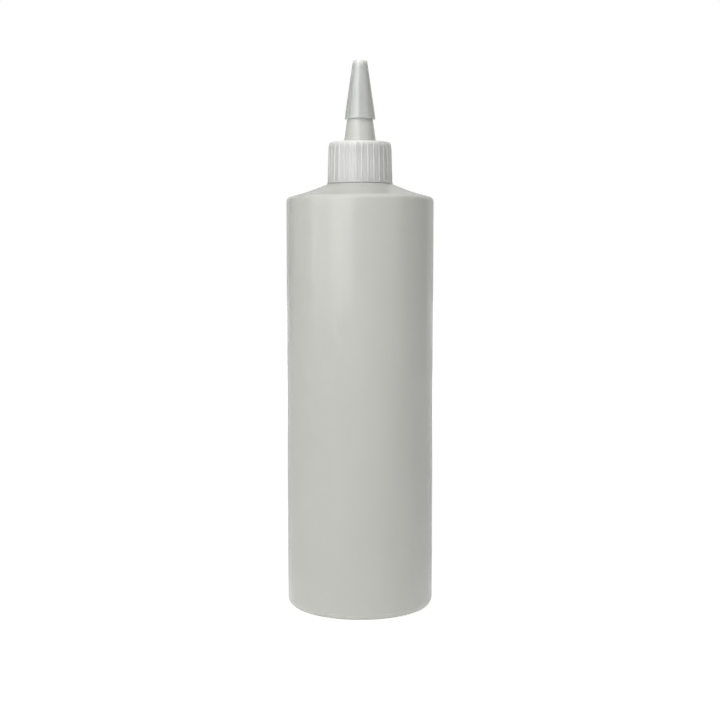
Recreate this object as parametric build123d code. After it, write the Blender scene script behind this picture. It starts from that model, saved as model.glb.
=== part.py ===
from build123d import *
import os
from math import cos, radians, sin

# Glue applicator bottle: a round squeeze bottle, a ribbed screw cap moulded in one piece with its
# long tapered spout, a foam sealing washer inside the cap and a push-on tip cap over the spout.
# Millimetres. The origin is the centre of the base, at the height of the standing ring. +Z is up.

# Bottle body
BODY_R = 30.75            # outer radius of the straight side
WALL = 1.0                # wall of the straight side
BASE_WALL = 1.3
HEEL_R = 4.6              # rounding between the side and the standing ring
RING_INNER_R = 24.3       # where the standing ring turns up into the base
RING_EDGE_R = 1.2
PUSH_UP = 3.0             # height of the hollow under the base
PUSH_UP_FLAT_R = 15.0     # radius of the level middle of the base
PUSH_UP_BLEND_R = 18.0
SHOULDER_Z = 171.45       # height of the side's top corner before it is rounded
SHOULDER_EDGE_R = 1.9     # rounding of that corner
SHOULDER_MID_R = 21.0     # where the shoulder's slope eases off, and its height there
SHOULDER_MID_Z = 174.25
SHOULDER_BLEND_R = 60.0
SHOULDER_WALL = 1.4

# Neck, in the proportions of a 24 mm screw finish with one and a half turns
NECK_BASE_R = 13.7        # outer radius of the nearly level ring round the neck's foot
NECK_BASE_Z = 177.08
NECK_BASE_EDGE_R = 1.0
NECK_FOOT_Z = 177.15      # where that ring meets the neck
NECK_FOOT_R = 1.4         # rounding there
NECK_INNER_Z = 176.8      # where the shoulder's inside meets the bore
NECK_FLARE_R = 2.4        # rounding there
NECK_R = 10.8             # radius at the root of the thread
NECK_BORE_R = 9.2
NECK_TOP = 192.2
NECK_RIM_R = 0.5          # rounding of the rim's outer edge
PITCH = 3.175
THREAD_R = 11.8           # radius over the thread
NECK_THREAD_Z = 185.15    # height of the thread's middle where it starts
NECK_TURNS = 1.5
NECK_ROOT_HALF = 1.05     # half the thread's height at the neck
NECK_CREST_HALF = 0.45    # half the thread's height at its crest
RUN_OUT_DEG = 22.0        # angle over which a thread's end runs out
RUN_OUT_REACH = 6.5       # how far the cut that makes a run-out goes past the run-out itself
BURY = 0.25               # how far a thread runs into the wall it stands on

# Moulding marks
SEAM_HEIGHT = 0.07        # how far the parting line stands out of the side
SEAM_WIDTH = 0.32
SEAM_BOTTOM = 0.4
PINCH_LENGTH = 33.0       # weld line across the base, where the mould closed on the tube
PINCH_WIDTH = 0.9
PINCH_HEIGHT = 0.45

# Screw cap
SKIRT_BOTTOM = 177.3
DECK_TOP = 194.4
DECK_UNDER = 193.0
SKIRT_BORE_R = 12.0
MOUTH_CHAMFER = 0.4       # at the bottom of the skirt's bore
CAP_CORNER_R = 0.5        # rounding between the skirt's bore and the deck, and at the spout's bore
SKIRT_FOOT_R = 13.35      # outer radius of the skirt between its ribs, at the bottom
SKIRT_HEAD_R = 12.85      # the same at the deck
DECK_EDGE_R = 1.1
LIP_HEIGHT = 0.8          # plain band below the ribs
LIP_OUT = 0.3             # how far that band stands out
LIP_SLOPE = 0.2           # height of the slope above the band
LIP_EDGE_R = 0.25
LIP_ROOT_R = 0.1
RIB_COUNT = 32
RIB_TURN_DEG = 3.5        # how far the ribs are turned round from the +X axis
RIB_WIDTH = 0.9
RIB_EDGE_R = 0.22         # rounding of a rib's two long edges
RIB_OUT = 0.26            # how far a rib stands out of the skirt
CAP_CREST_R = 11.25       # radius inside the cap's thread
CAP_ROOT_HALF = 0.85
CAP_CREST_HALF = 0.4
FLANK_GAP = 0.12          # play between the cap's thread and the one above it
CAP_THREAD_START = -180.0  # degrees, from where the neck's thread starts
CAP_THREAD_END = 405.0

# Spout
SPOUT_FOOT_R = 6.74       # outer radius at the deck
SPOUT_TIP_R = 2.25
SPOUT_TIP_Z = 225.6
SPOUT_FILLET = 0.8
SPOUT_TIP_EDGE_R = 0.35
SPOUT_BORE_FOOT_R = 5.2
SPOUT_BORE_HEAD_R = 1.35
ORIFICE_R = 0.8
ORIFICE_LENGTH = 2.0
ORIFICE_LEAD = 0.5        # height of the cone between the bore and the orifice

# Sealing washer, between the neck's rim and the deck
WASHER_R = 11.6
WASHER_HOLE_R = 8.6
WASHER_GAP = 0.02

# Tip cap
TIP_RIM_Z = 203.9
TIP_COLLAR_Z = 205.5      # top of the low band round the rim
TIP_CONE_Z = 209.4        # where the cone takes on its slope
TIP_TOP_Z = 228.0
TIP_INNER_TOP_Z = 226.7
TIP_RIM_R = 6.45
TIP_COLLAR_R = 6.28
TIP_CONE_R = 5.7
TIP_TOP_R = 3.0
TIP_RIM_EDGE_R = 0.45
TIP_COLLAR_EDGE_R = 8.0
TIP_CONE_EDGE_R = 30.0
TIP_EDGE_R = 0.6
TIP_FIT = 0.05            # radial play between the tip cap and the spout
TIP_STEP = 0.3            # how much narrower the hollow gets above the spout
TIP_STEP_R = 0.2
TIP_DOME_R = 0.4
GATE_DISH_R = 1.7         # shallow dish in the top, round the stub where the plastic was fed in
GATE_DISH_DEPTH = 0.3
GATE_R = 0.55

PAST = 1.0                # how far a hollow's cutter reaches past the face that it opens


def spout_radius(z):
    """Outer radius of the spout's cone at height z."""
    slope = (SPOUT_FOOT_R - SPOUT_TIP_R) / (SPOUT_TIP_Z - DECK_TOP)
    return SPOUT_FOOT_R - slope * (z - DECK_TOP)


def skirt_radius(z):
    """Outer radius of the skirt at height z, between its ribs."""
    slope = (SKIRT_FOOT_R - SKIRT_HEAD_R) / (DECK_TOP - SKIRT_BOTTOM)
    return SKIRT_FOOT_R - slope * (z - SKIRT_BOTTOM)


def turned(corners):
    """Solid of revolution about Z. A corner is (radius, height, rounding), from axis to axis."""
    points = [(radius, height) for radius, height, _ in corners]
    roundings = [rounding for _, _, rounding in corners[1:-1]]
    with BuildPart() as part:
        with BuildSketch(Plane.XZ):
            with BuildLine():
                outline = FilletPolyline(*points, radius=roundings)
                Line(outline @ 1, outline @ 0)
            make_face()
        revolve(axis=Axis.Z)
    return part.part


def outside(grow=0.0):
    """The bottle as if it were solid, with its side and shoulder moved out by grow."""
    return turned([
        (0, PUSH_UP, 0),
        (PUSH_UP_FLAT_R, PUSH_UP, PUSH_UP_BLEND_R),
        (RING_INNER_R, 0, RING_EDGE_R),
        (BODY_R + grow, 0, HEEL_R),
        (BODY_R + grow, SHOULDER_Z + grow, SHOULDER_EDGE_R),
        (SHOULDER_MID_R, SHOULDER_MID_Z + grow, SHOULDER_BLEND_R),
        (NECK_BASE_R, NECK_BASE_Z + grow, NECK_BASE_EDGE_R),
        (NECK_R, NECK_FOOT_Z + grow, NECK_FOOT_R),
        (NECK_R, NECK_TOP, NECK_RIM_R),
        (0, NECK_TOP, 0),
    ])


def inside():
    """The room inside the bottle, open through the neck."""
    return turned([
        (0, PUSH_UP + BASE_WALL, 0),
        (PUSH_UP_FLAT_R, PUSH_UP + BASE_WALL, PUSH_UP_BLEND_R),
        (RING_INNER_R, BASE_WALL, RING_EDGE_R + BASE_WALL),
        (BODY_R - WALL, BASE_WALL, HEEL_R - WALL),
        (BODY_R - WALL, SHOULDER_Z - WALL, SHOULDER_EDGE_R - WALL),
        (SHOULDER_MID_R, SHOULDER_MID_Z - SHOULDER_WALL, SHOULDER_BLEND_R),
        (NECK_BORE_R, NECK_INNER_Z, NECK_FLARE_R),
        (NECK_BORE_R, NECK_TOP + PAST, 0),
        (0, NECK_TOP + PAST, 0),
    ])


def helical_flight(root_r, crest_r, root_half, crest_half, start_deg, turns, start_z):
    """Right-hand thread that stands from root_r to crest_r, with its root run into the wall."""
    bury = BURY if root_r > crest_r else -BURY
    buried_half = root_half + (root_half - crest_half) * BURY / abs(root_r - crest_r)
    profile = [
        (root_r + bury, -buried_half),
        (crest_r, -crest_half),
        (crest_r, crest_half),
        (root_r + bury, buried_half),
    ]
    section = Face(Wire.make_polygon([Vector(r, 0, z) for r, z in profile], close=True))
    helix = Helix(pitch=PITCH, height=PITCH * turns, radius=root_r)
    flight = Solid.sweep(section, helix, is_frenet=True)
    return Rot(0, 0, start_deg) * Pos(0, 0, start_z) * flight


def point_at(radius, degrees):
    """Point at height 0, at this distance from the axis and this angle round from +X."""
    return Vector(radius * cos(radians(degrees)), radius * sin(radians(degrees)), 0)


def run_out_cut(end_deg, span_deg, root_r, crest_r, middle_z):
    """Block that cuts a thread down to its root at end_deg and leaves all of it one span on."""
    near = point_at(root_r, end_deg)
    far = point_at(crest_r, end_deg + span_deg)
    along = (far - near).normalized()
    across = Vector(along.Y, -along.X, 0)
    if (span_deg > 0) != (crest_r > root_r):
        across = across * -1
    first = near - along * RUN_OUT_REACH
    last = far + along * RUN_OUT_REACH
    out = across * RUN_OUT_REACH
    corners = [first, last, last + out, first + out]
    low_z = middle_z - PITCH / 2
    face = Face(Wire.make_polygon([Vector(c.X, c.Y, low_z) for c in corners], close=True))
    return extrude(face, amount=PITCH, dir=(0, 0, 1))


def thread(root_r, crest_r, root_half, crest_half, start_deg, turns, start_z):
    """A helical flight whose two ends run out to nothing."""
    flight = helical_flight(root_r, crest_r, root_half, crest_half, start_deg, turns, start_z)
    end_deg = start_deg + 360 * turns
    end_z = start_z + PITCH * turns
    flight = flight - run_out_cut(start_deg, RUN_OUT_DEG, root_r, crest_r, start_z)
    return flight - run_out_cut(end_deg, -RUN_OUT_DEG, root_r, crest_r, end_z)


def neck_thread():
    return thread(NECK_R, THREAD_R, NECK_ROOT_HALF, NECK_CREST_HALF, 0, NECK_TURNS, NECK_THREAD_Z)


def cap_thread():
    """The cap's thread, lying just below the neck's thread and held up against it."""
    flank = (NECK_ROOT_HALF - NECK_CREST_HALF) / (THREAD_R - NECK_R)
    neck_half = NECK_ROOT_HALF - flank * (CAP_CREST_R - NECK_R)
    drop = neck_half + CAP_CREST_HALF + FLANK_GAP
    start_z = NECK_THREAD_Z - drop + PITCH * CAP_THREAD_START / 360
    turns = (CAP_THREAD_END - CAP_THREAD_START) / 360
    return thread(SKIRT_BORE_R, CAP_CREST_R, CAP_ROOT_HALF, CAP_CREST_HALF,
                  CAP_THREAD_START, turns, start_z)


def bottle():
    seam_height = NECK_FOOT_Z - SEAM_BOTTOM
    blade = Pos(0, 0, SEAM_BOTTOM + seam_height / 2) * Box(4 * BODY_R, SEAM_WIDTH, seam_height)
    seam = outside(SEAM_HEIGHT) & blade
    pinch = Pos(0, 0, PUSH_UP) * Box(PINCH_LENGTH, PINCH_WIDTH, 2 * PINCH_HEIGHT)
    return outside() + seam + pinch - inside() + neck_thread()


def skirt_and_spout():
    """The spout cap's outside as if it were solid, before its ribs."""
    lip_top = SKIRT_BOTTOM + LIP_HEIGHT
    return turned([
        (0, SKIRT_BOTTOM, 0),
        (SKIRT_FOOT_R + LIP_OUT, SKIRT_BOTTOM, LIP_EDGE_R),
        (SKIRT_FOOT_R + LIP_OUT, lip_top, LIP_EDGE_R),
        (skirt_radius(lip_top), lip_top + LIP_SLOPE, LIP_ROOT_R),
        (SKIRT_HEAD_R, DECK_TOP, DECK_EDGE_R),
        (SPOUT_FOOT_R, DECK_TOP, SPOUT_FILLET),
        (SPOUT_TIP_R, SPOUT_TIP_Z, SPOUT_TIP_EDGE_R),
        (0, SPOUT_TIP_Z, 0),
    ])


def cap_hollow():
    """Inside of the cap and of its spout."""
    bore_head_z = SPOUT_TIP_Z - ORIFICE_LENGTH
    mouth_r = SKIRT_BORE_R + MOUTH_CHAMFER
    return turned([
        (0, SKIRT_BOTTOM - PAST, 0),
        (mouth_r, SKIRT_BOTTOM - PAST, 0),
        (mouth_r, SKIRT_BOTTOM, 0),
        (SKIRT_BORE_R, SKIRT_BOTTOM + MOUTH_CHAMFER, 0),
        (SKIRT_BORE_R, DECK_UNDER, CAP_CORNER_R),
        (SPOUT_BORE_FOOT_R, DECK_UNDER, CAP_CORNER_R),
        (SPOUT_BORE_HEAD_R, bore_head_z - ORIFICE_LEAD, 0),
        (ORIFICE_R, bore_head_z, 0),
        (ORIFICE_R, SPOUT_TIP_Z + PAST, 0),
        (0, SPOUT_TIP_Z + PAST, 0),
    ])


def rib():
    """One upright grip rib at azimuth 0, leaning in with the skirt's taper."""
    low_z = SKIRT_BOTTOM + LIP_HEIGHT / 2
    high_z = DECK_TOP - DECK_EDGE_R
    low_r = skirt_radius(low_z)
    high_r = skirt_radius(high_z)
    inner_top = (high_r - RIB_OUT, high_z + RIB_OUT)
    with BuildPart() as part:
        with BuildSketch(Plane.XZ):
            with BuildLine():
                FilletPolyline(
                    (low_r - RIB_OUT, low_z),
                    (low_r + RIB_OUT, low_z),
                    (high_r + RIB_OUT, high_z),
                    inner_top,
                    radius=[0, RIB_OUT],
                    close=False,
                )
                Line(inner_top, (low_r - RIB_OUT, low_z))
            make_face()
        extrude(amount=RIB_WIDTH / 2, both=True)
        upright = part.edges().filter_by(lambda edge: edge.length > (high_z - low_z) / 2)
        fillet(upright.sort_by(Axis.X)[-2:], radius=RIB_EDGE_R)
    return part.part


def spout_cap():
    first_rib = rib()
    ribs = [Rot(0, 0, RIB_TURN_DEG + 360 * i / RIB_COUNT) * first_rib for i in range(RIB_COUNT)]
    return skirt_and_spout() + ribs - cap_hollow() + cap_thread()


def sealing_washer():
    height = DECK_UNDER - NECK_TOP - 2 * WASHER_GAP
    ring = Cylinder(WASHER_R, height) - Cylinder(WASHER_HOLE_R, height)
    return Pos(0, 0, (DECK_UNDER + NECK_TOP) / 2) * ring


def tip_cap_hollow():
    """Room for the spout's end inside the tip cap."""
    low_z = TIP_RIM_Z - PAST
    top_r = spout_radius(SPOUT_TIP_Z) + TIP_FIT
    return turned([
        (0, low_z, 0),
        (spout_radius(low_z) + TIP_FIT, low_z, 0),
        (top_r, SPOUT_TIP_Z, TIP_STEP_R),
        (top_r - TIP_STEP, TIP_INNER_TOP_Z, TIP_DOME_R),
        (0, TIP_INNER_TOP_Z, 0),
    ])


def tip_cap():
    body = turned([
        (0, TIP_RIM_Z, 0),
        (TIP_RIM_R, TIP_RIM_Z, TIP_RIM_EDGE_R),
        (TIP_COLLAR_R, TIP_COLLAR_Z, TIP_COLLAR_EDGE_R),
        (TIP_CONE_R, TIP_CONE_Z, TIP_CONE_EDGE_R),
        (TIP_TOP_R, TIP_TOP_Z, TIP_EDGE_R),
        (0, TIP_TOP_Z, 0),
    ])
    dish = Cylinder(GATE_DISH_R, 2 * GATE_DISH_DEPTH) - Cylinder(GATE_R, 2 * GATE_DISH_DEPTH)
    return body - tip_cap_hollow() - Pos(0, 0, TIP_TOP_Z) * dish


def main():
    os.makedirs("parts", exist_ok=True)
    pieces = {
        "bottle": bottle(),
        "spout_cap": spout_cap(),
        "sealing_washer": sealing_washer(),
        "tip_cap": tip_cap(),
    }
    for name, piece in pieces.items():
        export_step(piece, os.path.join("parts", name + ".step"))


main()
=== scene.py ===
"""Looks of the glue applicator bottle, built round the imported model.

Each moulded piece is one closed mesh, made of rings about the bottle's axis. Sizes are millimetres
unless a name or comment says otherwise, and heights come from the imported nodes' boxes.
"""
import math

import bpy
import numpy as np
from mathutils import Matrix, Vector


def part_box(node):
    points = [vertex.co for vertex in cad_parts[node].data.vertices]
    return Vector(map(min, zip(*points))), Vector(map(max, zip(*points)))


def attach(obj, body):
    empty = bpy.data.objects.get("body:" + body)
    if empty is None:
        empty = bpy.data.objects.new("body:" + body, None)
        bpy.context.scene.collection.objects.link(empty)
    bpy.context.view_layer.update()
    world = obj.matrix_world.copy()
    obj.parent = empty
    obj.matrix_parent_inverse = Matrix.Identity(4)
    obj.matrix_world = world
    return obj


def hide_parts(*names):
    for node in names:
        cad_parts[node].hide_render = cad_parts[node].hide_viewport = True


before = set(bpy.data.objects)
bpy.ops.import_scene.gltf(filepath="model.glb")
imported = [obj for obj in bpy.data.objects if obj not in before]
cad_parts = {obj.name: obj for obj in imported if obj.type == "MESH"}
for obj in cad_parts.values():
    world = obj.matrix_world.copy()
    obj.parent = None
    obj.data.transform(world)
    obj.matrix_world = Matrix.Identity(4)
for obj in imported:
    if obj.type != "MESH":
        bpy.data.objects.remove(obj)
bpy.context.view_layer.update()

MM = 0.001
FULL_TURN = 2 * math.pi
ARC_STEP_DEG = 9.0        # a rounding gets one point for each such turn


def low_z(node):
    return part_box(node)[0].z / MM


def high_z(node):
    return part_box(node)[1].z / MM


# Bottle
BODY_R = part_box("bottle")[1].y / MM
WALL = 1.0
BASE_WALL = 1.3
SHOULDER_WALL = 1.4
HEEL_R = 4.6
RING_INNER_R = 24.3
PUSH_UP = 3.0
PUSH_UP_FLAT_R = 15.0
PUSH_UP_ROUND = 18.0
NECK_TOP = high_z("bottle")
SHOULDER_Z = NECK_TOP - 20.75
SHOULDER_EDGE_R = 1.9
SHOULDER_MID_R = 21.0
SHOULDER_MID_Z = NECK_TOP - 17.95
SHOULDER_MID_ROUND = 60.0
NECK_BASE_R = 13.7        # outer radius of the nearly level ring round the neck's foot
NECK_BASE_Z = NECK_TOP - 15.0
NECK_FOOT_Z = NECK_TOP - 14.98
NECK_FOOT_ROUND = 1.4
NECK_INNER_Z = NECK_TOP - 15.4
NECK_FLARE_R = 2.4
NECK_R = 10.8
NECK_BORE_R = 9.2
NECK_BEVEL = 0.3
NECK_PLAIN = 2.0          # the lowest stretch of the neck, which the thread doesn't reach
SEAM_HALF = 0.2           # half the width of the raised line that the mould's joint leaves
SEAM_HEIGHT = 0.065
PINCH_HALF = 0.55         # half the width of the weld line across the base
PINCH_HEIGHT = 0.42
PINCH_REACH = 16.5        # from the middle of the base to the weld line's end
PINCH_FADE = 1.5
WAVER = 0.05              # how far the blown wall falls short of a true cylinder
WAVER_FADE = 6.0          # height below the shoulder over which that dies away

# Screw thread
PITCH = 3.175
RUN_OUT_DEG = 24.0
NECK_THREAD_Z = NECK_TOP - 7.05
NECK_THREAD_OUT = 0.98
NECK_THREAD = {
    "start_deg": 0.0, "turns": 1.5, "start_z": NECK_THREAD_Z, "root_half": 1.03, "crest_half": 0.43,
}
CAP_THREAD_DROP = 1.32    # how far the cap's thread lies under the neck's
CAP_THREAD_IN = 0.73
CAP_THREAD = {            # it starts half a turn before the neck's
    "start_deg": -180.0, "turns": 1.625, "start_z": NECK_THREAD_Z - CAP_THREAD_DROP - PITCH / 2,
    "root_half": 0.83, "crest_half": 0.38,
}

# Spout cap
SKIRT_BOTTOM = low_z("spout_cap")
DECK_UNDER = high_z("sealing_washer") + 0.02
DECK_TOP = DECK_UNDER + 1.4
SKIRT_BORE_R = 12.0
SKIRT_BEVEL = 0.4
SKIRT_FOOT_R = 13.35
SKIRT_HEAD_R = 12.85
SKIRT_SLOPE = (SKIRT_FOOT_R - SKIRT_HEAD_R) / (DECK_TOP - SKIRT_BOTTOM)
DECK_EDGE_R = 1.1
LIP_HEIGHT = 0.8
LIP_OUT = 0.3
RIB_COUNT = 32
RIB_PITCH = FULL_TURN / RIB_COUNT
RIB_TURN_DEG = 3.5
RIB_OUT = 0.24
RIB_FOOT_HALF = 0.5
RIB_CREST_HALF = 0.1
SPOUT_FOOT_R = 6.74
SPOUT_TIP_R = 2.25
SPOUT_TIP_Z = high_z("spout_cap")
SPOUT_SLOPE = (SPOUT_FOOT_R - SPOUT_TIP_R) / (SPOUT_TIP_Z - DECK_TOP)
SPOUT_FILLET = 0.8
SPOUT_BORE_FOOT_R = 5.2
SPOUT_BORE_HEAD_R = 1.35
ORIFICE_R = 0.8
ORIFICE_LENGTH = 2.0
MOULD_LINE_HALF = 0.22    # half the width of the fine line up the spout's front and back
MOULD_LINE_HEIGHT = 0.07
MOULD_LINE_PRESSED = 0.035  # what is left of that height under the tip cap

# Washer
WASHER_WIDTH = 3.0
WASHER_EDGE_R = 0.12

# Tip cap
TIP_RIM_Z = low_z("tip_cap")
TIP_TOP_Z = high_z("tip_cap")
TIP_COLLAR_Z = TIP_RIM_Z + 1.6
TIP_CONE_Z = TIP_RIM_Z + 5.5
TIP_INNER_TOP_Z = TIP_TOP_Z - 1.3
TIP_RIM_R = 6.45
TIP_RIM_EDGE_R = 0.45
TIP_COLLAR_R = 6.28
TIP_COLLAR_ROUND = 8.0
TIP_CONE_R = 5.7
TIP_CONE_ROUND = 30.0
TIP_TOP_R = 3.0
TIP_TOP_EDGE_R = 0.3
TIP_FIT = 0.06            # room between the tip cap and the spout
GATE_R = 0.55             # stub left on the tip cap where the plastic was fed in
GATE_DISH_R = 1.7
GATE_DISH_DEPTH = 0.3

# Plastics. pale and deep are the ends of the cloudy colour, and the colour blended in up the spout is
# painted shade. depth is how far light goes in, in metres like the two heights. grain is the scale of the
# mould's texture, and streaks are the flow lines along the axis.
PLASTICS = {
    "natural_hdpe": {
        "pale": (0.463, 0.461, 0.431), "deep": (0.448, 0.449, 0.418), "roughness": 0.2, "specular": 0.5,
        "subsurface": 0.6, "depth": 0.004, "grain": 1400.0, "grain_height": 3e-5, "streak_height": 1e-5,
    },
    "white_ldpe": {
        "pale": (0.592, 0.59, 0.556), "deep": (0.577, 0.576, 0.54), "roughness": 0.07, "specular": 0.6,
        "subsurface": 0.9, "depth": 0.007, "grain": 1900.0, "grain_height": 1e-5, "streak_height": 1e-5,
        # painted shade: darker colour blended in up the spout
        "spout_shade": (0.492, 0.492, 0.464),
    },
    "natural_ldpe": {
        "pale": (0.534, 0.537, 0.484), "deep": (0.518, 0.523, 0.468), "roughness": 0.05, "specular": 1.0,
        "subsurface": 1.0, "depth": 0.01, "grain": 2100.0, "grain_height": 1e-5, "streak_height": 1e-5,
    },
    "pe_foam": {
        "pale": (0.82, 0.82, 0.8), "deep": (0.72, 0.72, 0.7), "roughness": 0.75, "specular": 0.4,
        "subsurface": 0.2, "depth": 0.002, "grain": 3200.0, "grain_height": 2e-4, "streak_height": 1e-5,
    },
}
CLOUD_SCALE = 45.0
STREAK_SCALE = 600.0
SCUFF_SCALE = 120.0
PE_IOR = 1.52
WHITE = (1.0, 1.0, 1.0, 1.0)

# Stage. Every length here is in metres, apart from the floor's rings.
FLOOR_RINGS = (0, 300, 900, 4000)
FADE = (0.25, 0.9)        # the floor changes to its far look between these distances
FAR_GLOW = 0.3            # light given off by the floor far from the bottle
NEAR_GLOW = 0.25          # the same close round the bottle's foot
NEAR_FADE = (0.03, 0.11)  # where that dies away
NEAR_LIFT = 0.33          # how much brighter the camera sees the floor than it is, at the bottle
FAR_LIFT = 1.0            # the same far off, so that the floor runs into the white backdrop
SURROUNDINGS = 0.2        # light from all round
# name, azimuth from the camera's side (degrees), distance, width, bottom, top, radiance
PANELS = (
    ("window", -28, 0.5, 0.29, 0.12, 0.65, 2.9),
    ("window_side", -61, 0.5, 0.31, 0.12, 0.65, 1.5),
    ("key", -15, 0.75, 0.7, 0.6, 1.0, 1.9),
    ("front", 25, 1.0, 1.6, 0.02, 0.9, 0.75),
    ("back", 170, 1.2, 2.2, 0.02, 1.2, 0.45),
)
OVERHEAD_SIDE = 1.2
OVERHEAD_HEIGHT = 0.9
OVERHEAD_RADIANCE = 1.1
CAMERA_DISTANCE = 0.5239
CAMERA_HEIGHT = 0.1452
CAMERA_DOWN_DEG = 4.53
CAMERA_LENS_MM = 62.24


# Outlines: lists of corners (radius, height, rounding), whose two ends have no rounding


def rounded(corners):
    """The outline's points, (radius, height), with an arc of its own rounding at each inner corner."""
    points = [corner[:2] for corner in corners]
    line = [points[0]]
    for before, (*corner, radius), after in zip(points, corners[1:-1], points[2:]):
        a = np.subtract(before, corner)
        b = np.subtract(after, corner)
        a_length, b_length = np.hypot(*a), np.hypot(*b)
        a, b = a / a_length, b / b_length
        inside = math.acos(float(a @ b))
        turn = math.pi - inside
        back = min(radius * math.tan(turn / 2), 0.49 * a_length, 0.49 * b_length)
        radius = back / math.tan(turn / 2)
        middle = np.array(corner) + (a + b) / np.hypot(*(a + b)) * radius / math.sin(inside / 2)
        start = np.array(corner) + a * back - middle
        end = np.array(corner) + b * back - middle
        steps = max(3, math.ceil(math.degrees(turn) / ARC_STEP_DEG))
        for i in range(steps + 1):
            t = i / steps
            spot = middle + (start * math.sin((1 - t) * turn) + end * math.sin(t * turn)) / math.sin(turn)
            line.append(tuple(spot))
    line.append(points[-1])
    return line


def spread(line, longest):
    """The same line with points added so that no run is longer than longest."""
    out = [line[0]]
    for before, after in zip(line, line[1:]):
        pieces = max(1, math.ceil(math.dist(before, after) / longest))
        for i in range(1, pieces + 1):
            out.append(tuple(np.array(before) + (np.array(after) - before) * i / pieces))
    return out


# Rings and skins


def even_angles(count):
    return np.arange(count) * FULL_TURN / count


def crowded_angles(near_deg, even_deg):
    """Angles round a full turn: even_deg in each half, and near_deg on both sides of 0 and of 180."""
    near = np.radians(near_deg)
    half = np.concatenate([[0.0], near, np.radians(even_deg), math.pi - near[::-1]])
    return np.concatenate([half, half + math.pi])


def ring(angles, radius, height):
    """Points round the axis. radius and height are numbers, or one number for each angle."""
    radius = np.broadcast_to(radius, angles.shape)
    height = np.broadcast_to(height, angles.shape)
    return np.column_stack([radius * np.cos(angles), radius * np.sin(angles), height])


def rings_of(line, angles, shape=None):
    """A ring for each point of a line. shape(radius, height, angles) may move a ring's points."""
    out = []
    for radius, height in line:
        turns = angles if radius > 0 else angles[:1]
        place = shape(radius, height, turns) if shape else (radius, height)
        out.append((turns, ring(turns, *place)))
    return out


def strip(low, high, low_start, high_start):
    """Faces between two rings, which may have different numbers of points."""
    a, b = len(low), len(high)
    if a == b:
        return [(low_start + i, low_start + (i + 1) % a, high_start + (i + 1) % a, high_start + i)
                for i in range(a)]
    if a == 1:
        return [(low_start, high_start + (i + 1) % b, high_start + i) for i in range(b)]
    if b == 1:
        return [(low_start + i, low_start + (i + 1) % a, high_start) for i in range(a)]
    faces = []
    i = j = 0
    low_turn = np.append(low, low[0] + FULL_TURN)
    high_turn = np.append(high, high[0] + FULL_TURN)
    while i < a or j < b:
        if j == b or (i < a and low_turn[i + 1] <= high_turn[j + 1]):
            faces.append((low_start + i, low_start + (i + 1) % a, high_start + j % b))
            i += 1
        else:
            faces.append((low_start + i % a, high_start + (j + 1) % b, high_start + j))
            j += 1
    return faces


def skin(name, rings, closed=False):
    """A smooth-shaded mesh object over the rings. closed joins the last ring to the first."""
    starts = np.cumsum([0] + [len(points) for _, points in rings])
    faces = []
    for i in range(len(rings) - 1 + closed):
        j = (i + 1) % len(rings)
        faces += strip(rings[i][0], rings[j][0], int(starts[i]), int(starts[j]))
    mesh = bpy.data.meshes.new(name)
    vertices = np.concatenate([points for _, points in rings]) * MM
    mesh.from_pydata(vertices.tolist(), [], faces)
    mesh.validate()
    mesh.shade_smooth()
    obj = bpy.data.objects.new(name, mesh)
    bpy.context.scene.collection.objects.link(obj)
    return obj


def smooth_step(t):
    t = np.clip(t, 0.0, 1.0)
    return t * t * (3 - 2 * t)


def raised_line(across, half):
    """Height of a fine ridge, from 0 to 1, at this distance across it."""
    return smooth_step(1 - np.abs(across) / half)


def thread_height(angles, height, start_deg, turns, start_z, root_half, crest_half):
    """How far the thread stands out at these angles and this height, from 0 to 1."""
    best = np.zeros(angles.shape)
    for turn in range(-1, math.ceil(turns) + 1):
        along = np.degrees(angles) - start_deg + 360 * turn
        off = np.abs(height - start_z - PITCH * along / 360)
        flank = smooth_step((root_half - off) / (root_half - crest_half))
        ends = smooth_step(np.minimum(along, turns * 360 - along) / RUN_OUT_DEG)
        best = np.maximum(best, flank * ends)
    return best


# Bottle


def bottle_outside():
    return rounded([
        (0, PUSH_UP),
        (PUSH_UP_FLAT_R, PUSH_UP, PUSH_UP_ROUND),
        (RING_INNER_R, 0, 1.2),
        (BODY_R, 0, HEEL_R),
        (BODY_R, SHOULDER_Z, SHOULDER_EDGE_R),
        (SHOULDER_MID_R, SHOULDER_MID_Z, SHOULDER_MID_ROUND),
        (NECK_BASE_R, NECK_BASE_Z, 1.0),
        (NECK_R, NECK_FOOT_Z, NECK_FOOT_ROUND),
        (NECK_R, NECK_TOP, 0.5),
        (NECK_BORE_R + NECK_BEVEL, NECK_TOP),
    ])


def bottle_inside():
    inner_r = BODY_R - WALL
    return rounded([
        (NECK_BORE_R + NECK_BEVEL, NECK_TOP),
        (NECK_BORE_R, NECK_TOP - NECK_BEVEL, 0.2),
        (NECK_BORE_R, NECK_INNER_Z, NECK_FLARE_R),
        (SHOULDER_MID_R, SHOULDER_MID_Z - SHOULDER_WALL, SHOULDER_MID_ROUND),
        (inner_r, SHOULDER_Z - WALL, SHOULDER_EDGE_R - WALL),
        (inner_r, BASE_WALL, HEEL_R - WALL),
        (RING_INNER_R, BASE_WALL, 2.5),
        (PUSH_UP_FLAT_R, PUSH_UP + BASE_WALL, PUSH_UP_ROUND),
        (0, PUSH_UP + BASE_WALL),
    ])


def wall_waver(angles, height):
    """Slow unevenness of the blown wall, from 0 to 1, the same at angle 0 and a full turn on."""
    slow = np.sin(2 * angles + height / 21.0) * np.sin(height / 33.0 + 0.6)
    quick = np.sin(5 * angles - height / 13.0 + 1.1) * np.cos(height / 17.0)
    return 0.5 + 0.33 * slow + 0.17 * quick


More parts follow.
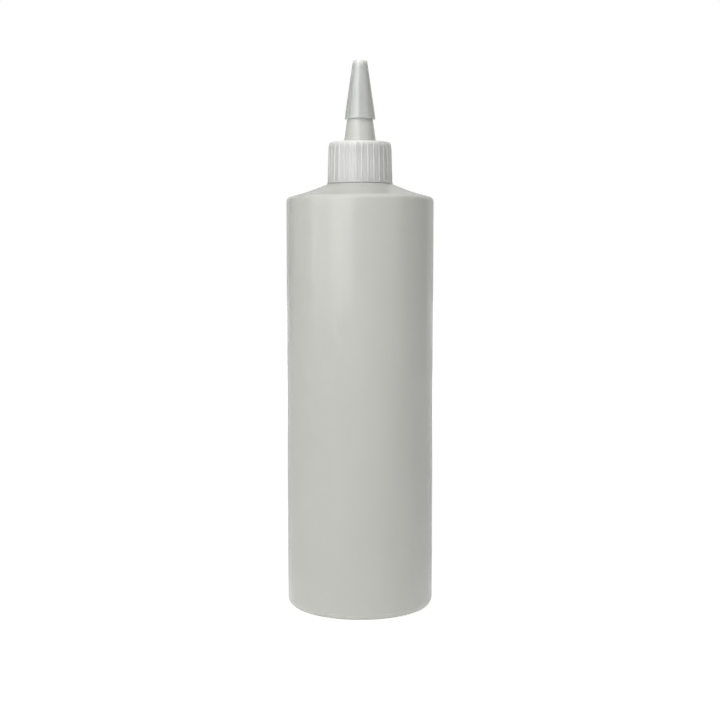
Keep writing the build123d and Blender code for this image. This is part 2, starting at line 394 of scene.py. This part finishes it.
def neck_shape(radius, height, angles):
    """Moves a ring of the neck's outside: thread and parting line, which fade out on its rim."""
    thread = thread_height(angles, height, **NECK_THREAD)
    rim_fade = smooth_step((radius - NECK_R + 0.1) / 0.1)
    seam = SEAM_HEIGHT * raised_line(radius * np.sin(angles), SEAM_HALF) * rim_fade
    return radius + thread * NECK_THREAD_OUT * rim_fade + seam * (thread < 0.05), height


def base_shape(radius, height, angles):
    """Moves a ring of the hollow base down at the weld line."""
    end = smooth_step((PINCH_REACH - radius) / PINCH_FADE)
    weld = smooth_step(1.3 - 1.3 * np.abs(radius * np.sin(angles)) / PINCH_HALF)
    return radius, height - PINCH_HEIGHT * end * weld


def side_shape(radius, height, angles):
    """Moves a ring of the heel, side or shoulder: parting line and uneven wall."""
    foot = smooth_step((height - 0.5) / HEEL_R)
    head = smooth_step((SHOULDER_Z + 1 - height) / WAVER_FADE)
    seam = SEAM_HEIGHT * raised_line(radius * np.sin(angles), SEAM_HALF) * foot
    return radius + seam - WAVER * foot * head * wall_waver(angles, height), height


def bottle_shape(radius, height, angles):
    """Moves a ring of the bottle's outside, as the stretch that it is on needs."""
    if height > NECK_FOOT_Z + NECK_PLAIN:
        return neck_shape(radius, height, angles)
    if radius < PINCH_REACH + 1 and height < PUSH_UP + 1:
        return base_shape(radius, height, angles)
    return side_shape(radius, height, angles)


def make_bottle():
    outside = bottle_outside()
    split_z = NECK_FOOT_Z + NECK_PLAIN / 2
    middle = [(radius, PUSH_UP) for radius in (0, 0.2, 0.4, 0.7, 1.1, 1.7, 2.6)]
    side = spread([p for p in outside if p[1] <= split_z], longest=4.0)
    neck = spread([p for p in outside if p[1] > split_z], longest=0.11)
    angles = crowded_angles([0.1, 0.2, 0.3, 0.42, 0.6, 0.9, 1.4], np.arange(2, 179, 2.0))
    rings = rings_of(middle + side[1:] + neck, angles, bottle_shape)
    rings += rings_of(spread(bottle_inside(), longest=6.0)[1:], angles)
    return skin("bottle_shell", rings)


# Spout cap


def rib_angles():
    """Angles for the ribbed skirt: thirteen across each rib and seven across each gap."""
    half = (RIB_FOOT_HALF + 0.03) / SKIRT_FOOT_R
    across = np.linspace(-half, half, 13)
    gap = np.linspace(half, RIB_PITCH - half, 9)[1:-1]
    one = np.concatenate([across, gap])
    every = [one + i * RIB_PITCH for i in range(RIB_COUNT)]
    return np.concatenate(every) + math.radians(RIB_TURN_DEG)


def skirt_shape(radius, height, angles):
    """Moves a ring of the skirt out where the grip ribs are."""
    turned = angles - math.radians(RIB_TURN_DEG)
    off = np.abs((turned + RIB_PITCH / 2) % RIB_PITCH - RIB_PITCH / 2) * SKIRT_FOOT_R
    rib = smooth_step((RIB_FOOT_HALF - off) / (RIB_FOOT_HALF - RIB_CREST_HALF))
    wall = SKIRT_FOOT_R - SKIRT_SLOPE * (height - SKIRT_BOTTOM)
    head = np.sqrt(np.clip((DECK_TOP - DECK_EDGE_R + 0.35 - height) / 0.5, 0, 1))
    foot = smooth_step((height - SKIRT_BOTTOM - 0.35) / 0.35)
    return np.maximum(radius, radius + (wall + RIB_OUT - radius) * rib * head * foot), height


def cap_skirt_line():
    lip_top = SKIRT_BOTTOM + LIP_HEIGHT
    return rounded([
        (SKIRT_FOOT_R - 0.5, SKIRT_BOTTOM),
        (SKIRT_FOOT_R + LIP_OUT, SKIRT_BOTTOM, 0.12),
        (SKIRT_FOOT_R + LIP_OUT, lip_top, 0.25),
        (SKIRT_FOOT_R - SKIRT_SLOPE * LIP_HEIGHT, lip_top + 0.2, 0.1),
        (SKIRT_HEAD_R, DECK_TOP, DECK_EDGE_R),
        (SKIRT_HEAD_R - 1.6, DECK_TOP),
    ])


def spout_line():
    orifice_z = SPOUT_TIP_Z - ORIFICE_LENGTH
    return rounded([
        (SKIRT_HEAD_R - 2.6, DECK_TOP),
        (SPOUT_FOOT_R, DECK_TOP, SPOUT_FILLET),
        (SPOUT_TIP_R, SPOUT_TIP_Z, 0.35),
        (ORIFICE_R, SPOUT_TIP_Z, 0.12),
        (ORIFICE_R, orifice_z, 0.2),
        (SPOUT_BORE_HEAD_R, orifice_z - 0.5, 0.2),
        (SPOUT_BORE_FOOT_R, DECK_UNDER, 0.5),
        (SKIRT_BORE_R - 4.0, DECK_UNDER),
    ])


def spout_radius(height):
    return SPOUT_FOOT_R - SPOUT_SLOPE * (height - DECK_TOP)


def spout_angles():
    """Angles for the spout's rings, closer together at its mould lines, front and back."""
    angles = crowded_angles([0.3, 0.6, 1.0, 1.5, 2.1, 2.8, 4.0], np.arange(6, 175, 2.5))
    return np.sort((angles + math.pi / 2) % FULL_TURN)


def spout_shape(radius, height, angles):
    """Moves a ring of the spout's outside out at the mould lines, less so under the tip cap."""
    on_cone = DECK_TOP + SPOUT_FILLET < height < SPOUT_TIP_Z - 1.0
    on_cone = on_cone and abs(radius - spout_radius(height)) < 0.1
    covered = smooth_step((height - TIP_RIM_Z + 1.0) / 0.8)
    tall = MOULD_LINE_HEIGHT + (MOULD_LINE_PRESSED - MOULD_LINE_HEIGHT) * covered
    return radius + on_cone * tall * raised_line(radius * np.cos(angles), MOULD_LINE_HALF), height


def cap_inside_line():
    return rounded([
        (SKIRT_BORE_R - 3.0, DECK_UNDER),
        (SKIRT_BORE_R, DECK_UNDER, 0.5),
        (SKIRT_BORE_R, SKIRT_BOTTOM + SKIRT_BEVEL, 0.15),
        (SKIRT_BORE_R + SKIRT_BEVEL, SKIRT_BOTTOM, 0.1),
        (SKIRT_BORE_R + SKIRT_BEVEL + 0.15, SKIRT_BOTTOM),
    ])


def cap_inside_shape(radius, height, angles):
    """Moves a ring of the skirt's bore in at the cap's thread."""
    on_wall = abs(radius - SKIRT_BORE_R) < 0.02
    return radius - thread_height(angles, height, **CAP_THREAD) * CAP_THREAD_IN * on_wall, height


def make_spout_cap():
    rings = rings_of(spread(cap_skirt_line(), longest=2.0), rib_angles(), skirt_shape)
    rings += rings_of(spread(spout_line(), longest=1.5), spout_angles(), spout_shape)
    rings += rings_of(spread(cap_inside_line(), longest=0.13), even_angles(192), cap_inside_shape)
    return skin("spout_cap_moulding", rings, closed=True)


# Washer


def make_washer():
    low, high = low_z("sealing_washer"), high_z("sealing_washer")
    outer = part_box("sealing_washer")[1].x / MM
    inner = outer - WASHER_WIDTH
    middle = (inner + outer) / 2
    edges = [(outer, low), (outer, high), (inner, high), (inner, low)]
    line = rounded([(middle, low), *[(*edge, WASHER_EDGE_R) for edge in edges], (middle, low)])
    return skin("foam_washer", rings_of(spread(line[:-1], longest=0.25), even_angles(192)), closed=True)


# Tip cap


def make_tip_cap():
    top_bore = SPOUT_TIP_R + TIP_FIT
    dish_z = TIP_TOP_Z - GATE_DISH_DEPTH
    line = rounded([
        (0, TIP_INNER_TOP_Z),
        (top_bore - 0.3, TIP_INNER_TOP_Z, 0.4),
        (top_bore, SPOUT_TIP_Z, 0.2),
        (spout_radius(TIP_RIM_Z) + TIP_FIT, TIP_RIM_Z, 0.15),
        (TIP_RIM_R, TIP_RIM_Z, TIP_RIM_EDGE_R),
        (TIP_COLLAR_R, TIP_COLLAR_Z, TIP_COLLAR_ROUND),
        (TIP_CONE_R, TIP_CONE_Z, TIP_CONE_ROUND),
        (TIP_TOP_R, TIP_TOP_Z, TIP_TOP_EDGE_R),
        (GATE_DISH_R, TIP_TOP_Z, 0.12),
        (GATE_DISH_R - 0.3, dish_z, 0.15),
        (GATE_R, dish_z, 0.1),
        (GATE_R - 0.1, TIP_TOP_Z - 0.08, 0.08),
        (0, TIP_TOP_Z - 0.05),
    ])
    return skin("tip_cap_moulding", rings_of(spread(line, longest=1.5), even_angles(144)))


# Materials


def link(tree, source, target):
    tree.links.new(source, target)


def noise(tree, vector, scale, detail=3.0, rough=0.5):
    n = tree.nodes.new("ShaderNodeTexNoise")
    n.inputs["Scale"].default_value = scale
    n.inputs["Detail"].default_value = detail
    n.inputs["Roughness"].default_value = rough
    link(tree, vector, n.inputs["Vector"])
    return n.outputs["Fac"]


def stretched(tree, vector, scale):
    n = tree.nodes.new("ShaderNodeMapping")
    n.inputs["Scale"].default_value = scale
    link(tree, vector, n.inputs["Vector"])
    return n.outputs["Vector"]


def ranged(tree, value, low, high, from_low=0.3, from_high=0.7):
    """value taken smoothly from its own range, from_low to from_high, to low to high."""
    n = tree.nodes.new("ShaderNodeMapRange")
    n.interpolation_type = "SMOOTHSTEP"
    n.inputs["From Min"].default_value = from_low
    n.inputs["From Max"].default_value = from_high
    n.inputs["To Min"].default_value = low
    n.inputs["To Max"].default_value = high
    link(tree, value, n.inputs["Value"])
    return n.outputs["Result"]


def blended(tree, factor, a, b):
    """A colour between a and b, each a colour or a socket. The node's colours are inputs 6 and 7."""
    n = tree.nodes.new("ShaderNodeMix")
    n.data_type = "RGBA"
    link(tree, factor, n.inputs["Factor"])
    for value, socket in ((a, n.inputs[6]), (b, n.inputs[7])):
        if isinstance(value, tuple):
            socket.default_value = (*value, 1.0)
        else:
            link(tree, value, socket)
    return n.outputs[2]


def calculated(tree, operation, a, b):
    """The sum, product or such of two sockets."""
    n = tree.nodes.new("ShaderNodeMath")
    n.operation = operation
    link(tree, a, n.inputs[0])
    link(tree, b, n.inputs[1])
    return n.outputs[0]


def bump(tree, height, distance, strength, normal=None):
    n = tree.nodes.new("ShaderNodeBump")
    n.inputs["Strength"].default_value = strength
    n.inputs["Distance"].default_value = distance
    link(tree, height, n.inputs["Height"])
    if normal is not None:
        link(tree, normal, n.inputs["Normal"])
    return n.outputs["Normal"]


def spout_shade_mask(tree, where):
    """Mask for painted shade: 0 on the cap's skirt and 1 up the spout, whose colour is darkened to stand
    in for shade.
    """
    n = tree.nodes.new("ShaderNodeSeparateXYZ")
    link(tree, where, n.inputs[0])
    return ranged(tree, n.outputs["Z"], 0.0, 1.0, (DECK_TOP - 1) * MM, (DECK_TOP + 3) * MM)


def plastic(name):
    """Moulded polyethylene: cloudy colour, uneven gloss, mould grain and flow lines."""
    look = PLASTICS[name]
    material = bpy.data.materials.new(name)
    material.use_nodes = True
    tree = material.node_tree
    shader = tree.nodes["Principled BSDF"]
    where = tree.nodes.new("ShaderNodeTexCoord").outputs["Object"]
    cloud = noise(tree, stretched(tree, where, (1.0, 1.0, 0.4)), CLOUD_SCALE, 4.0, 0.5)
    streak = noise(tree, stretched(tree, where, (1.0, 1.0, 0.02)), STREAK_SCALE, 3.0, 0.6)
    colour = blended(tree, ranged(tree, cloud, 0.0, 1.0), look["deep"], look["pale"])
    colour = blended(tree, ranged(tree, streak, 0.0, 0.25, 0.4, 0.7), colour, look["deep"])
    # Painted shade: the spout's colour is darkened above the deck.
    if "spout_shade" in look:
        colour = blended(tree, spout_shade_mask(tree, where), colour, look["spout_shade"])
    link(tree, colour, shader.inputs["Base Color"])
    scuff = noise(tree, where, SCUFF_SCALE, 3.0, 0.5)
    rough = look["roughness"]
    link(tree, ranged(tree, scuff, rough - 0.01, rough + 0.02), shader.inputs["Roughness"])
    grained = bump(tree, noise(tree, where, look["grain"], 2.0), look["grain_height"], 0.3)
    link(tree, bump(tree, streak, look["streak_height"], 0.1, grained), shader.inputs["Normal"])
    shader.inputs["IOR"].default_value = PE_IOR
    shader.inputs["Specular IOR Level"].default_value = look["specular"]
    shader.inputs["Subsurface Weight"].default_value = look["subsurface"]
    shader.inputs["Subsurface Radius"].default_value = (1.0, 0.96, 0.88)
    shader.inputs["Subsurface Scale"].default_value = look["depth"]
    return material


# Stage, lamps and camera


def floor_light(tree):
    """Light given off by the floor, by distance from the axis, and more of it for the camera."""
    away = tree.nodes.new("ShaderNodeVectorMath")
    away.operation = "LENGTH"
    link(tree, tree.nodes.new("ShaderNodeTexCoord").outputs["Object"], away.inputs[0])
    away = away.outputs["Value"]
    near = ranged(tree, away, NEAR_GLOW, 0.0, *NEAR_FADE)
    glow = calculated(tree, "ADD", near, ranged(tree, away, 0.0, FAR_GLOW, *FADE))
    seen = tree.nodes.new("ShaderNodeLightPath").outputs["Is Camera Ray"]
    lift = calculated(tree, "MULTIPLY", ranged(tree, away, NEAR_LIFT, FAR_LIFT, *FADE), seen)
    return calculated(tree, "ADD", glow, lift)


def make_floor():
    """Pale floor that fades into the white backdrop. The camera sees it lighter than it is."""
    floor = skin("floor", rings_of([(radius, 0) for radius in FLOOR_RINGS], even_angles(96)))
    material = bpy.data.materials.new("pale_floor")
    material.use_nodes = True
    tree = material.node_tree
    shader = tree.nodes["Principled BSDF"]
    shader.inputs["Base Color"].default_value = (0.9, 0.9, 0.9, 1.0)
    shader.inputs["Roughness"].default_value = 0.8
    shader.inputs["Emission Color"].default_value = WHITE
    link(tree, floor_light(tree), shader.inputs["Emission Strength"])
    floor.data.materials.append(material)


def lamp(name, size, radiance, place, turn):
    """A rectangular lamp that shines along its own -Z. The camera doesn't see the lamp itself."""
    data = bpy.data.lights.new(name, "AREA")
    data.shape = "RECTANGLE"
    data.size, data.size_y = size
    data.energy = radiance * math.pi * size[0] * size[1]
    obj = bpy.data.objects.new(name, data)
    obj.location = place
    obj.rotation_euler = turn
    obj.visible_camera = False
    bpy.context.scene.collection.objects.link(obj)


def panel(name, azimuth_deg, distance, width, bottom, top, radiance):
    """An upright softbox that faces the bottle's axis."""
    azimuth = math.radians(azimuth_deg)
    place = (distance * math.sin(azimuth), -distance * math.cos(azimuth), (bottom + top) / 2)
    lamp(name, (width, top - bottom), radiance, place, (math.pi / 2, 0.0, azimuth))


def make_lamps():
    for row in PANELS:
        panel(*row)
    side = (OVERHEAD_SIDE, OVERHEAD_SIDE)
    lamp("overhead", side, OVERHEAD_RADIANCE, (0.0, 0.0, OVERHEAD_HEIGHT), (0.0, 0.0, 0.0))


def make_world():
    """Dim surroundings for the light, with a white backdrop for the camera."""
    world = bpy.data.worlds.new("studio")
    bpy.context.scene.world = world
    world.use_nodes = True
    tree = world.node_tree
    lit = tree.nodes["Background"]
    lit.inputs["Color"].default_value = WHITE
    lit.inputs["Strength"].default_value = SURROUNDINGS
    seen = tree.nodes.new("ShaderNodeBackground")
    seen.inputs["Color"].default_value = WHITE
    path = tree.nodes.new("ShaderNodeLightPath")
    mix = tree.nodes.new("ShaderNodeMixShader")
    link(tree, path.outputs["Is Camera Ray"], mix.inputs[0])
    link(tree, lit.outputs[0], mix.inputs[1])
    link(tree, seen.outputs[0], mix.inputs[2])
    link(tree, mix.outputs[0], tree.nodes["World Output"].inputs[0])


def make_camera():
    data = bpy.data.cameras.new("camera")
    data.sensor_width = 36.0
    data.lens = CAMERA_LENS_MM
    data.clip_start = 0.01
    camera = bpy.data.objects.new("camera", data)
    camera.location = (0.0, -CAMERA_DISTANCE, CAMERA_HEIGHT)
    camera.rotation_euler = (math.radians(90 - CAMERA_DOWN_DEG), 0.0, 0.0)
    bpy.context.scene.collection.objects.link(camera)
    bpy.context.scene.camera = camera


def dress(piece, body, node, slot):
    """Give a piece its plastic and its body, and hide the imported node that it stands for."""
    piece.data.materials.append(plastic(slot))
    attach(piece, body)
    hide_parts(node)


make_camera()
make_world()
make_floor()
make_lamps()

dress(make_bottle(), "bottle", "bottle", "natural_hdpe")
dress(make_spout_cap(), "spout", "spout_cap", "white_ldpe")
dress(make_washer(), "seal", "sealing_washer", "pe_foam")
dress(make_tip_cap(), "tip", "tip_cap", "natural_ldpe")

bpy.context.scene.view_settings.view_transform = "Standard"
